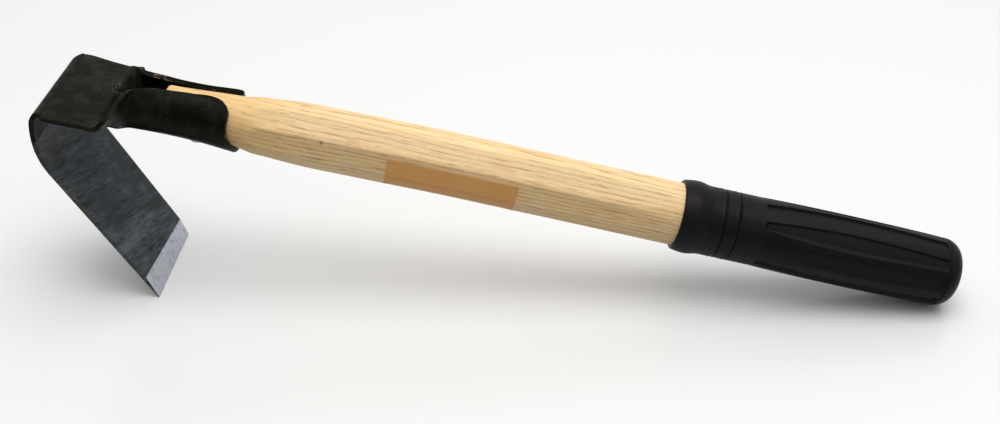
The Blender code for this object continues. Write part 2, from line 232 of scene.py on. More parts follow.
# shared effects: chipped rims, fine grit and scratches
def makeWearGroup():
    tree, into, out = newGroup(
        "rimWear",
        [("Vector", "NodeSocketVector", None), ("Rim", "NodeSocketFloat", 5.0),
         ("Reach", "NodeSocketFloat", 1.0), ("Scale", "NodeSocketFloat", 300.0)],
        [("Mask", "NodeSocketFloat"), ("Halo", "NodeSocketFloat")])
    field = noiseField(tree, into.outputs["Vector"], into.outputs["Scale"], 4.0, 0.6)
    spread = remap(tree, field, 0.50, 0.74)
    limit = math2(tree, "MULTIPLY", spread, into.outputs["Reach"])
    gap = math2(tree, "SUBTRACT", limit, into.outputs["Rim"])
    broad = math2(tree, "MULTIPLY", into.outputs["Scale"], 0.16)
    patch = remap(tree, noiseField(tree, into.outputs["Vector"], broad, 2.0, 0.5), 0.50, 0.60)
    link(tree, math2(tree, "MULTIPLY", remap(tree, gap, 0.0, 0.12), patch), out.inputs["Mask"])
    link(tree, math2(tree, "MULTIPLY", remap(tree, gap, -0.5, 0.1), remap(tree, patch, 0.0, 1.0, 0.35, 1.0)),
         out.inputs["Halo"])
    return tree


def makeGritGroup():
    tree, into, out = newGroup(
        "fineGrit",
        [("Vector", "NodeSocketVector", None), ("Scale", "NodeSocketFloat", 900.0)],
        [("Grit", "NodeSocketFloat"), ("Cloud", "NodeSocketFloat")])
    link(tree, noiseField(tree, into.outputs["Vector"], into.outputs["Scale"], 3.0, 0.6), out.inputs["Grit"])
    coarse = math2(tree, "MULTIPLY", into.outputs["Scale"], 0.05)
    link(tree, noiseField(tree, into.outputs["Vector"], coarse, 4.0, 0.6), out.inputs["Cloud"])
    return tree


def makeScratchGroup():
    tree, into, out = newGroup(
        "scratches",
        [("Vector", "NodeSocketVector", None), ("Stretch", "NodeSocketVector", (1.0, 1.0, 1.0)),
         ("Amount", "NodeSocketFloat", 0.5)],
        [("Lines", "NodeSocketFloat"), ("Streak", "NodeSocketFloat")])
    wide = put(tree, "ShaderNodeVectorMath", {0: into.outputs["Vector"], 1: into.outputs["Stretch"]},
               operation="MULTIPLY").outputs[0]
    fine = noiseField(tree, wide, 6.0, 4.0, 0.7)
    limit = math2(tree, "SUBTRACT", 0.78, math2(tree, "MULTIPLY", into.outputs["Amount"], 0.2))
    gap = math2(tree, "SUBTRACT", fine, limit)
    link(tree, remap(tree, gap, 0.0, 0.06), out.inputs["Lines"])
    link(tree, noiseField(tree, wide, 1.3, 3.0, 0.6), out.inputs["Streak"])
    return tree


rimWear = makeWearGroup()
fineGrit = makeGritGroup()
scratches = makeScratchGroup()


def newMaterial(name):
    mat = bpy.data.materials.new(name)
    mat.use_nodes = True
    tree = mat.node_tree
    shader = tree.nodes["Principled BSDF"]
    place = tree.nodes.new("ShaderNodeTexCoord").outputs["Object"]
    return mat, tree, shader, place


def useGroup(tree, group, values):
    return put(tree, "ShaderNodeGroup", values, node_tree=group)


def bumpInto(tree, shader, height, distance, strength=1.0):
    node = put(tree, "ShaderNodeBump", {"Height": height, "Distance": distance, "Strength": strength})
    link(tree, node.outputs["Normal"], shader.inputs["Normal"])


def readRim(tree):
    return put(tree, "ShaderNodeAttribute", attribute_name="rim").outputs["Fac"]


# olive-black paint on the neck, bend and socket, with a painted highlight and painted glints at the crease,
# chipped along its rims
def makePaint():
    mat, tree, shader, place = newMaterial("oliveBlackPaint")
    # the spot on the crease that catches the light, with the reaches of a painted highlight and of painted
    # glints there
    scuffAndGlint = {"at": (-0.0560, 0.0070, -0.0022), "paintedHighlight": (0.016, 0.003), "paintedGlints": (0.0065, 0.0030)}
    grit = useGroup(tree, fineGrit, {"Vector": place, "Scale": 900.0})
    wear = useGroup(tree, rimWear, {"Vector": place, "Rim": readRim(tree), "Reach": 0.55, "Scale": 330.0})
    base = blendColour(tree, grit.outputs["Cloud"], srgb(9, 10, 6), srgb(21, 22, 14))
    dents = noiseField(tree, place, 190.0, 2.0, 0.45)
    rubbed = remap(tree, noiseField(tree, place, 125.0, 5.0, 0.68), 0.46, 0.66)
    base = tint(tree, base, rubbed, 0.55, srgb(40, 43, 31))
    specks = remap(tree, noiseField(tree, place, 520.0, 3.0, 0.6), 0.715, 0.75)
    base = tint(tree, base, specks, 0.7, srgb(112, 110, 96))
    # painted highlight: a pale greenish patch laid over the paint around the crease, where the light catches
    # it
    toGlintSpot = distanceTo(tree, place, scuffAndGlint["at"])
    base = tint(tree, base, remap(tree, toGlintSpot, *scuffAndGlint["paintedHighlight"]), 0.12, srgb(40, 48, 38))
    # painted glints: tiny bright specks laid into the paint near the same spot
    paintedGlints = remap(tree, noiseField(tree, place, 1500.0, 2.0, 0.5), 0.60, 0.66)
    paintedGlints = math2(tree, "MULTIPLY", paintedGlints, remap(tree, toGlintSpot, *scuffAndGlint["paintedGlints"]))
    base = tint(tree, base, paintedGlints, 0.5, srgb(150, 158, 148))
    dull = blendColour(tree, wear.outputs["Halo"], base, srgb(34, 31, 24))
    rust = blendColour(tree, grit.outputs["Grit"], srgb(104, 76, 46), srgb(150, 142, 124))
    link(tree, blendColour(tree, wear.outputs["Mask"], dull, rust), shader.inputs["Base Color"])
    rough = math2(tree, "SUBTRACT", remap(tree, grit.outputs["Cloud"], 0.3, 0.75, 0.33, 0.48),
                  math2(tree, "MULTIPLY", rubbed, 0.10))
    link(tree, rough, shader.inputs["Roughness"])
    shader.inputs["Specular IOR Level"].default_value = 0.05
    link(tree, math2(tree, "MULTIPLY", wear.outputs["Mask"], 0.6), shader.inputs["Metallic"])
    height = math2(tree, "ADD", math2(tree, "MULTIPLY", dents, 9.0), grit.outputs["Grit"])
    height = math2(tree, "SUBTRACT", height, math2(tree, "MULTIPLY", wear.outputs["Mask"], 2.0))
    bumpInto(tree, shader, height, 0.00007, 0.8)
    return mat


# the blade's faces: dark scale rubbed to slate grey, scuffed along the cutting edge
def makeBladeScale():
    mat, tree, shader, place = newMaterial("bladeScale")
    grit = useGroup(tree, fineGrit, {"Vector": place, "Scale": 1300.0})
    acrossStreaks = (0.656, -0.31, -0.755)
    along = dotWith(tree, place, acrossStreaks)
    sides = put(tree, "ShaderNodeSeparateXYZ", {"Vector": place}).outputs
    flat = put(tree, "ShaderNodeCombineXYZ", {"X": along, "Y": sides["Y"], "Z": sides["Z"]}).outputs["Vector"]
    scuffAndGlint = useGroup(tree, scratches, {"Vector": flat, "Stretch": (170.0, 30.0, 8.0), "Amount": 0.35})
    fine = useGroup(tree, scratches, {"Vector": flat, "Stretch": (620.0, 150.0, 8.0), "Amount": 0.5})
    wear = useGroup(tree, rimWear, {"Vector": place, "Rim": readRim(tree), "Reach": 1.7, "Scale": 240.0})
    streak = math2(tree, "ADD", math2(tree, "MULTIPLY", scuffAndGlint.outputs["Streak"], 0.62),
                   math2(tree, "MULTIPLY", fine.outputs["Streak"], 0.38))
    base = blendColour(tree, remap(tree, streak, 0.38, 0.64), srgb(13, 16, 19), srgb(92, 100, 106))
    base = blendColour(tree, remap(tree, grit.outputs["Cloud"], 0.4, 0.75), base, srgb(40, 45, 48))
    base = tint(tree, base, fine.outputs["Lines"], 0.35, srgb(104, 110, 114))
    worn = blendColour(tree, grit.outputs["Grit"], srgb(66, 61, 47), srgb(112, 108, 94))
    link(tree, blendColour(tree, wear.outputs["Mask"], base, worn), shader.inputs["Base Color"])
    shader.inputs["Metallic"].default_value = 0.35
    shader.inputs["Specular IOR Level"].default_value = 0.25
    link(tree, remap(tree, scuffAndGlint.outputs["Streak"], 0.3, 0.7, 0.46, 0.58), shader.inputs["Roughness"])
    height = math2(tree, "ADD", grit.outputs["Grit"], math2(tree, "MULTIPLY", scuffAndGlint.outputs["Streak"], 1.5))
    bumpInto(tree, shader, height, 0.00005, 0.8)
    return mat


# ground cutting bevel: bare bright steel with grinding lines and dark specks
def makeGroundSteel():
    mat, tree, shader, place = newMaterial("groundSteel")
    grit = useGroup(tree, fineGrit, {"Vector": place, "Scale": 700.0})
    lines = useGroup(tree, scratches, {"Vector": place, "Stretch": (40.0, 260.0, 40.0), "Amount": 0.7})
    specks = remap(tree, grit.outputs["Grit"], 0.60, 0.68)
    base = blendColour(tree, lines.outputs["Streak"], srgb(172, 175, 188), srgb(214, 217, 228))
    base = tint(tree, base, lines.outputs["Lines"], 0.5, srgb(236, 238, 244))
    base = tint(tree, base, specks, 0.6, srgb(110, 112, 120))
    blots = remap(tree, noiseField(tree, place, 240.0, 5.0, 0.7), 0.52, 0.70)
    base = tint(tree, base, blots, 0.55, srgb(120, 124, 134))
    link(tree, base, shader.inputs["Base Color"])
    shader.inputs["Metallic"].default_value = 0.75
    link(tree, remap(tree, lines.outputs["Streak"], 0.3, 0.7, 0.34, 0.5), shader.inputs["Roughness"])
    bumpInto(tree, shader, lines.outputs["Lines"], 0.00004, 0.6)
    return mat


# pale ash: growth rings cut lengthwise as thin broken lines, open pores as short dashes
def makeAsh():
    mat, tree, shader, place = newMaterial("ashWood")
    grain = {"rings": 470.0, "lean": 0.62, "drift": 0.0075, "sweep": 0.022, "pores": 1200.0,
             "mark": (0.0357, -0.0126, 0.0047), "markFray": 0.0016, "markEdge": (0.0019, 0.0012)}
    split = put(tree, "ShaderNodeSeparateXYZ", {"Vector": place})
    drift = noiseField(tree, stretched(tree, place, (9.0, 60.0, 60.0)), 1.0, 3.0, 0.6)
    slow = noiseField(tree, stretched(tree, place, (3.0, 8.0, 8.0)), 1.0, 2.0, 0.5)
    depth = math2(tree, "ADD", split.outputs["Z"], math2(tree, "MULTIPLY", split.outputs["Y"], grain["lean"]))
    depth = math2(tree, "ADD", depth, math2(tree, "MULTIPLY", drift, grain["drift"]))
    depth = math2(tree, "ADD", depth, math2(tree, "MULTIPLY", slow, grain["sweep"]))
    ring = math2(tree, "FRACT", math2(tree, "MULTIPLY", depth, grain["rings"]))
    line = remap(tree, math2(tree, "ABSOLUTE", math2(tree, "SUBTRACT", ring, 0.5)), 0.13, 0.02)
    band = remap(tree, ring, 0.05, 0.5)
    dashes = noiseField(tree, stretched(tree, place, (75.0, grain["pores"], grain["pores"])), 1.0, 2.0, 0.65)
    broken = remap(tree, dashes, 0.36, 0.58)
    pores = math2(tree, "MULTIPLY", remap(tree, dashes, 0.56, 0.70), remap(tree, band, 0.0, 1.0, 0.4, 1.0))
    fleck = noiseField(tree, stretched(tree, place, (260.0, 620.0, 620.0)), 1.0, 3.0, 0.7)
    fleck = remap(tree, fleck, 0.5, 0.72)
    cloud = noiseField(tree, stretched(tree, place, (16.0, 90.0, 90.0)), 1.0, 4.0, 0.6)
    base = blendColour(tree, cloud, srgb(252, 228, 179), srgb(240, 202, 142))
    base = tint(tree, base, band, 0.30, srgb(230, 178, 110))
    base = tint(tree, base, fleck, 0.45, srgb(252, 234, 200))
    line = math2(tree, "MULTIPLY", line, remap(tree, broken, 0.0, 1.0, 0.16, 0.72))
    base = blendColour(tree, line, base, srgb(184, 126, 66))
    base = tint(tree, base, pores, 0.65, srgb(178, 122, 66))
    oiled = remap(tree, split.outputs["X"], 0.030, -0.002, 0.0, 0.55, True)
    base = blendColour(tree, oiled, base, srgb(226, 184, 112))
    toMark = distanceTo(tree, place, grain["mark"])
    toMark = math2(tree, "ADD", toMark, math2(tree, "MULTIPLY", dashes, grain["markFray"]))
    spot = remap(tree, toMark, *grain["markEdge"])
    base = tint(tree, base, spot, 0.7, srgb(96, 72, 46))
    link(tree, base, shader.inputs["Base Color"])
    link(tree, remap(tree, band, 0.0, 1.0, 0.60, 0.5), shader.inputs["Roughness"])
    height = math2(tree, "SUBTRACT", math2(tree, "MULTIPLY", band, 0.4), math2(tree, "ADD", pores, line))
    bumpInto(tree, shader, height, 0.00006, 0.6)
    return mat


# satin black rubber with a fine moulded stipple and a little dust
def makeRubber():
    mat, tree, shader, place = newMaterial("blackRubber")
    grit = useGroup(tree, fineGrit, {"Vector": place, "Scale": 2200.0})
    base = blendColour(tree, grit.outputs["Cloud"], srgb(15, 18, 20), srgb(23, 26, 28))
    dust = remap(tree, grit.outputs["Grit"], 0.62, 0.74, 0.0, 0.25)
    link(tree, blendColour(tree, dust, base, srgb(30, 31, 30)), shader.inputs["Base Color"])
    shader.inputs["Specular IOR Level"].default_value = 0.10
    link(tree, remap(tree, grit.outputs["Cloud"], 0.3, 0.7, 0.34, 0.46), shader.inputs["Roughness"])
    bumpInto(tree, shader, grit.outputs["Grit"], 0.00003, 0.6)
    return mat


# blank tan label paper: soft fibres, pale rubbed rims
def makeLabelPaper():
    mat, tree, shader, place = newMaterial("tanPaper")
    grit = useGroup(tree, fineGrit, {"Vector": place, "Scale": 1500.0})
    wear = useGroup(tree, rimWear, {"Vector": place, "Rim": readRim(tree), "Reach": 0.7, "Scale": 420.0})
    fibres = noiseField(tree, stretched(tree, place, (120.0, 700.0, 700.0)), 1.0, 3.0, 0.6)
    base = blendColour(tree, grit.outputs["Cloud"], srgb(234, 174, 102), srgb(218, 158, 90))
    base = blendColour(tree, remap(tree, fibres, 0.5, 0.75, 0.0, 0.35), base, srgb(232, 184, 124))
    link(tree, blendColour(tree, wear.outputs["Mask"], base, srgb(226, 196, 152)), shader.inputs["Base Color"])
    shader.inputs["Roughness"].default_value = 0.6
    bumpInto(tree, shader, math2(tree, "ADD", fibres, grit.outputs["Grit"]), 0.00003, 0.5)
    return mat


def makeScrewSteel():
    mat, tree, shader, place = newMaterial("screwSteel")
    grit = useGroup(tree, fineGrit, {"Vector": place, "Scale": 1800.0})
    base = blendColour(tree, grit.outputs["Cloud"], srgb(148, 148, 144), srgb(186, 184, 176))
    link(tree, blendColour(tree, remap(tree, grit.outputs["Grit"], 0.6, 0.75), base, srgb(112, 92, 66)),
         shader.inputs["Base Color"])
    shader.inputs["Metallic"].default_value = 0.9
    link(tree, remap(tree, grit.outputs["Cloud"], 0.3, 0.7, 0.32, 0.5), shader.inputs["Roughness"])
    bumpInto(tree, shader, grit.outputs["Grit"], 0.00002, 0.5)
    return mat


paint = makePaint()
bladeScale = makeBladeScale()
groundSteel = makeGroundSteel()
ash = makeAsh()
rubber = makeRubber()
labelPaper = makeLabelPaper()
screwSteel = makeScrewSteel()
print("materials made")


# angle 0 on handle and grip is the near side, a quarter turn is up
def around(x, radius, angle):
    return Vector((x, -radius * math.cos(angle), radius * math.sin(angle)))


def handleRadius(x):
    shoulderLength, shoulderRadius = handle["shoulder"]
    tenonLength, tipRadius = handle["tenon"]
    if x <= 0:
        return mix(handle["mouthRadius"], tipRadius, -x / tenonLength)
    if x < shoulderLength:
        return mix(handle["mouthRadius"], shoulderRadius, math.sin(x / shoulderLength * math.pi / 2))
    if x < handle["taper"]:
        share = (x - shoulderLength) / (handle["taper"] - shoulderLength)
        return mix(shoulderRadius, handle["radius"], math.sin(share * math.pi / 2))
    return handle["radius"]


# the upper half of the wood and of the socket around it is a little flattened near the mouth
def flattened(point):
    if point.z > 0:
        start, full, end = handle["topFlatSpan"]
        share = smooth((point.x - start) / (full - start)) * smooth(1 - point.x / end)
        point.z *= 1 - handle["topFlat"] * share
    return point


# the wood leans down to the socket's axis
def handlePoint(x, radius, angle):
    lean = handle["drop"] * smooth(1 - x / handle["lean"])
    return flattened(around(x, radius, angle)) - Vector((0, 0, lean))


# eight flats planed on the round wood, with the corners left round
def handleSurface(x, angle):
    ends = smooth(x / handle["flatStart"]) * smooth((handle["bareLength"] - x) / handle["taper"] + 0.25)
    radius = handleRadius(x)
    corner = math.pi / 8
    fromFlat = (angle - handle["flatTurn"] + corner) % (2 * corner) - corner
    flat = (radius - handle["flatDepth"] * ends) / math.cos(fromFlat)
    along, across = handle["rippleScale"]
    ripple = noise.noise(Vector((x * along, math.cos(angle) * across, math.sin(angle) * across)))
    return min(radius, flat) + handle["ripple"] * ripple


def makeHandle():
    tenonLength, tipRadius = handle["tenon"]
    turns = [2 * math.pi * i / handle["sides"] for i in range(handle["sides"])]
    stations = steps(-tenonLength, 0, 12) + steps(0, handle["taper"], 40)[1:]
    stations += steps(handle["taper"], handle["bareLength"], 90)[1:]
    chamfer = handle["chamfer"]
    rings = [[handlePoint(-tenonLength, tipRadius - chamfer, t) for t in turns]]
    for x in stations:
        shift = chamfer if x == -tenonLength else 0.0
        rings.append([handlePoint(x + shift, handleSurface(x, t), t) for t in turns])
    spigotEnd = handle["bareLength"] + grip["length"] - handle["spigotGap"]
    rings += [[around(x, handle["spigotRadius"], t) for t in turns] for x in (handle["bareLength"], spigotEnd)]
    bm = bmesh.new()
    addRings(bm, rings)
    return makePiece("ashHandle", bm, [ash], "handle")


def gripRadius(x):
    tail = grip["start"] + grip["run"]
    half = grip["flareLength"] / 2
    if x < half:
        return mix(grip["rim"], grip["flare"], math.sin(math.pi * x / grip["flareLength"]))
    if x < grip["flareLength"]:
        return mix(grip["flare"], grip["neck"], smooth(x / half - 1))
    if x < grip["start"]:
        return grip["neck"]
    if x < tail:
        share = (x - grip["start"]) / grip["run"]
        crown = grip["body"] - (grip["neck"] + grip["tail"]) / 2
        return mix(grip["neck"], grip["tail"], share) + crown * math.sin(math.pi * share) ** 0.8
    share = min(1.0, (x - tail) / (grip["length"] - tail))
    return mix(grip["endFlat"], grip["tail"], math.sqrt(1 - share ** 2.2))


def fluteAngle(x):
    share = min(1.0, max(0.0, (x - grip["start"]) / grip["run"]))
    return mix(mix(grip["startAngle"], grip["tailAngle"], share), grip["midAngle"], math.sin(math.pi * share))


# depth of a flute at an angle from its middle: steep upper wall, flat floor, ramp up to a crisp lower crest
def fluteDepth(x, offset):
    inside = min(x - grip["start"], grip["start"] + grip["run"] - x)
    if inside <= 0:
        return 0.0
    half = fluteAngle(x)
    ramp = min(grip["ramp"], half * grip["rampShare"])
    wall = smooth((half - offset) / grip["wall"]) if offset > 0 else min(1.0, (half + offset) / ramp)
    if wall <= 0:
        return 0.0
    floor = gripRadius(x) * (1 - math.cos(half) / math.cos(min(abs(offset), half)))
    return (grip["depth"] + floor * grip["floorShare"]) * wall * smooth(inside / grip["fluteFade"])


def ringSink(x):
    sink = 0.0
    for ring in grip["rings"]:
        away = abs(x - ring) / (grip["ringWidth"] / 2)
        sink += grip["ringDepth"] * smooth(1.25 - away) if away < 1.25 else 0.0
        bead = abs(x - ring + grip["ringWidth"] * 1.2) / (grip["ringWidth"] * 0.6)
        sink -= grip["ringBead"] * smooth(1 - bead) if bead < 1 else 0.0
    behind, width, depth = grip["lipGroove"]
    away = abs(x - grip["start"] - grip["run"] - behind) / (width / 2)
    return sink + (depth * smooth(1.3 - away) if away < 1.3 else 0.0)


def makeGrip():
    front = handle["bareLength"]
    tail = grip["start"] + grip["run"]
    pitch = 2 * math.pi / grip["flutes"]
    endZone, lipStart = grip["endZone"], tail + grip["lipZone"]
    stations = steps(grip["rimRound"], grip["flareLength"], 26)
    stations += steps(grip["flareLength"], grip["start"], 92)[1:]
    stations += steps(grip["start"], grip["start"] + endZone, 8)[1:]
    stations += steps(grip["start"] + endZone, tail - endZone, 70)[1:]
    stations += steps(tail - endZone, lipStart, 16)[1:]
    stations += [lipStart + (grip["length"] - lipStart) * math.sin(i * math.pi / 40) for i in range(1, 21)]

    def ring(x):
        half, wall = fluteAngle(x), grip["wall"]
        offsets = [-pitch / 2, -pitch / 2 * 0.5 - half * 0.5]
        ramp = min(grip["ramp"], half * grip["rampShare"])
        offsets += steps(-half, -half + ramp, 4) + steps(-half + ramp, half - wall, 6)[1:]
        offsets += steps(half - wall, half, 5)[1:] + [pitch / 2 * 0.5 + half * 0.5]
        points = []
        for i in range(grip["flutes"]):
            centre = grip["phase"] + pitch * i
            for offset in offsets:
                radius = gripRadius(x) - ringSink(x) - fluteDepth(x, offset)
                points.append(around(front + x, radius, centre + offset))
        return points

    outer = [ring(x) for x in stations]
    turns = [math.atan2(point.z, -point.y) for point in outer[0]]
    rimRounds = [(0.0, grip["rim"] - grip["rimInset"]), (0.0, grip["bore"] + grip["rimRound"]),
                 (grip["rimRound"], grip["bore"])]
    outer = [[around(front + x, r, t) for t in turns] for x, r in reversed(rimRounds)] + outer
    boreEnd = front + grip["length"] - grip["endWall"]
    bm = bmesh.new()
    rows = addRings(bm, outer, capFirst=False)
    inner = [bm.verts.new(around(boreEnd, grip["bore"], t)) for t in turns]
    for i in range(len(turns)):
        j = (i + 1) % len(turns)
        bm.faces.new((inner[i], inner[j], rows[0][j], rows[0][i]))
    bm.faces.new(inner)
    return makePiece("rubberGrip", bm, [rubber], "grip", sharpAngle=28)


label = {"start": 0.0645, "length": 0.057, "top": math.radians(18), "bottom": math.radians(-49),
         "gap": 0.00008, "thickness": 0.00022, "lift": 0.0006, "liftReach": 0.004, "rows": 60, "columns": 30}


def makeLabel():
    rows, columns = label["rows"], label["columns"]
    xs = steps(label["start"], label["start"] + label["length"], rows)
    angles = steps(label["bottom"], label["top"], columns)
    span = (label["top"] - label["bottom"]) * handle["radius"]

    def toEdges(i, j):
        return min(i, rows - i) / rows * label["length"], min(j, columns - j) / columns * span

    def place(i, j, lift):
        curl = label["lift"] * max(0.0, 1 - sum(toEdges(i, j)) / label["liftReach"]) ** 2
        x, angle = xs[i], angles[j]
        return handlePoint(x, handleSurface(x, angle) + label["gap"] + lift + curl, angle)

    bm = bmesh.new()
    rim = bm.verts.layers.float.new("rim")
    under = [[place(i, j, 0.0) for j in range(columns + 1)] for i in range(rows + 1)]
    top = [[place(i, j, label["thickness"]) for j in range(columns + 1)] for i in range(rows + 1)]
    for grid in addSheet(bm, under, top):
        for i, row in enumerate(grid):
            for j, vert in enumerate(row):
                vert[rim] = min(toEdges(i, j)) * 1000
    return makePiece("paperLabel", bm, [labelPaper], "label")


head = {
    "thickness": 0.0021, "socket": 0.051, "frontRadius": 0.0124, "dip": 0.0011,
    "nearAngle": math.radians(161), "farAngle": math.radians(141), "frontEdgeAngle": math.radians(140),
    "nearSlant": 0.0049, "farSlant": 0.0026, "nearReach": 0.66, "farReach": 1.0,
    "nearCorner": 0.0068, "farCorner": 0.0022, "nearFall": 0.0088, "farFall": 0.0022,
    "neckDrop": 0.0018, "neck": 0.0269, "neckWidth": 0.0284, "crown": 0.0006,
    "nearWaists": ((0.0012, -0.0598, 0.016),),
    "farWaists": ((0.0022, -0.0445, 0.020), (0.0014, -0.0620, 0.015)),
    "roll": 0.0117, "rollLead": 0.0061, "sink": 0.0068, "sinkLag": 0.0004,
    "cornerStart": 0.0055, "cornerSpan": 0.0110, "cornerFade": 0.0200,
    "nearTrim": 0.0012, "farTrim": 0.0032, "farSkew": 0.0011,
    "bend": 0.0038, "bendWidth": 0.0273, "bendCorner": 0.0020,
    "curl": 0.0388, "curlAngle": math.radians(41), "blade": 0.0736, "rootWidth": 0.0259,
    "edgeWidth": 0.0243, "bevelNear": 0.0118, "bevelFar": 0.0090, "edgeThickness": 0.0005,
    "clearance": 0.0003, "soften": 0.0007, "columns": 44, "edgeColumns": (0.008, 0.02, 0.032),
    "bevelRows": 8, "paintedRows": 24, "rimGuard": 2.0,
}


def socketRadius(x):
    grown = head["clearance"] + head["thickness"] / 2
    share = min(1.0, max(0.0, -x / head["socket"]))
    dip = head["dip"] * 4 * share * (1 - share)
    return max(handleRadius(x) + grown, mix(handle["mouthRadius"] + grown, head["frontRadius"], share) - dip)


# turn of the strap's edge from the socket's floor; the near flap is rolled further over the wood
def edgeAngle(u):
    return head["nearAngle"] if u < 0 else head["farAngle"]


# how far the mouth is cut back at an angle: a slant up each flap, then a rounded corner at its edge
def mouthCut(angle):
    turned = min(1.0, abs(angle) / edgeAngle(angle))
    side = "near" if angle < 0 else "far"
    cut = head[side + "Slant"] * smooth(turned / head[side + "Reach"])
    toEdge = (1 - turned) * edgeAngle(angle) * (handle["mouthRadius"] + head["thickness"])
    corner = head[side + "Corner"]
    if toEdge < corner:
        cut += head[side + "Fall"] * (1 - math.sqrt(1 - (1 - toEdge / corner) ** 2))
    return cut


# half width lost at the rounded end corners of the plate, by the distance along the strap past their start
def cornerTrim(u, past):
    full = head["farTrim"] if u > 0 else head["nearTrim"]
    if past < head["cornerSpan"]:
        return full * (max(0.0, past) / head["cornerSpan"]) ** 2
    return full * smooth(1 - (past - head["cornerSpan"]) / head["cornerFade"])


# half width of the plate; its far side narrows a little towards the socket
def neckWidth(u, x):
    distance = max(0.0, -head["socket"] - x)
    width = mix(head["neckWidth"], head["bendWidth"], smooth(distance / head["neck"]))
    if u > 0:
        width += head["farSkew"] * (2 * distance / head["neck"] - 1)
    return width - cornerTrim(u, head["cornerStart"] - (head["neck"] - distance))


# middle of the rolled strap: the floor sinks first, then the strap is rolled up at its full width
def rolledPoint(x, u):
    start = -head["socket"] - head["rollLead"]
    rolled = smooth((x - start) / head["roll"])
    sunk = smooth((x - start - head["sinkLag"]) / head["sink"])
    opened = min(1.0, max(0.0, (x - start - head["roll"]) / (head["socket"] * 0.5)))
    angle = u * mix(head["frontEdgeAngle"], edgeAngle(u), math.sin(opened * math.pi / 2))
    radius = socketRadius(x)
    reach = mix(u * neckWidth(u, x), radius * angle, rolled)
    for depth, at, span in head["nearWaists"] if u < 0 else head["farWaists"]:
        reach -= u * depth * smooth(1 - abs(x - at) / span)
    floor = -mix(head["neckDrop"] + head["crown"] * u ** 4 * (1 - rolled), radius, sunk)
    curve = max(rolled, 0.0001) / radius
    point = Vector((x, math.sin(reach * curve) / curve, floor + (1 - math.cos(reach * curve)) / curve))
    point.x = x - mouthCut(angle) * smooth(1 + x / (head["socket"] / 2))
    return flattened(point)


# blade, curl and bend as rows of (middle point, heading, half width, thickness, distance from the edge)
def bladeRow(u):
    rows = []
    skew = head["farSkew"] if u > 0 else 0.0
    farFromEdge = head["blade"] * 1.6
    neckEnd = -head["socket"] - head["neck"]
    centre = Vector((neckEnd, 0, -head["neckDrop"] - head["bend"]))
    for turn in steps(0, math.pi / 2, 18)[1:]:
        point = centre + head["bend"] * Vector((-math.sin(turn), 0, math.cos(turn)))
        width = head["bendWidth"] - head["bendCorner"] * math.sin(2 * turn) + skew
        width -= cornerTrim(u, head["cornerStart"] + turn * head["bend"])
        rows.append((point, turn, width, head["thickness"], farFromEdge))
    centre = rows[-1][0] + Vector((head["curl"], 0, 0))
    for turn in steps(0, head["curlAngle"], 20)[1:]:
        point = centre - head["curl"] * Vector((math.cos(turn), 0, math.sin(turn)))
        width = mix(head["bendWidth"] + skew, head["rootWidth"], turn / head["curlAngle"])
        width -= cornerTrim(u, head["cornerStart"] + math.pi / 2 * head["bend"] + turn * head["curl"])
        toEdge = head["blade"] + (head["curlAngle"] - turn) * head["curl"]
        rows.append((point, math.pi / 2 + turn, width, head["thickness"], toEdge))
    root = rows[-1][0]
    heading = math.pi / 2 + head["curlAngle"]
    ahead = Vector((-math.cos(heading), 0, -math.sin(heading)))
    bevel = mix(head["bevelNear"], head["bevelFar"], (u + 1) / 2)
    reaches = steps(0, head["blade"] - bevel, 24)[1:]
    reaches += steps(head["blade"] - bevel, head["blade"], head["bevelRows"])[1:]
    for reach in reaches:
        width = mix(head["rootWidth"], head["edgeWidth"], reach / head["blade"])
        ground = max(0.0, (reach - head["blade"] + bevel) / bevel)
        thickness = mix(head["thickness"], head["edgeThickness"], ground)
        rows.append((root + ahead * reach, heading, width, thickness, head["blade"] - reach))
    return rows


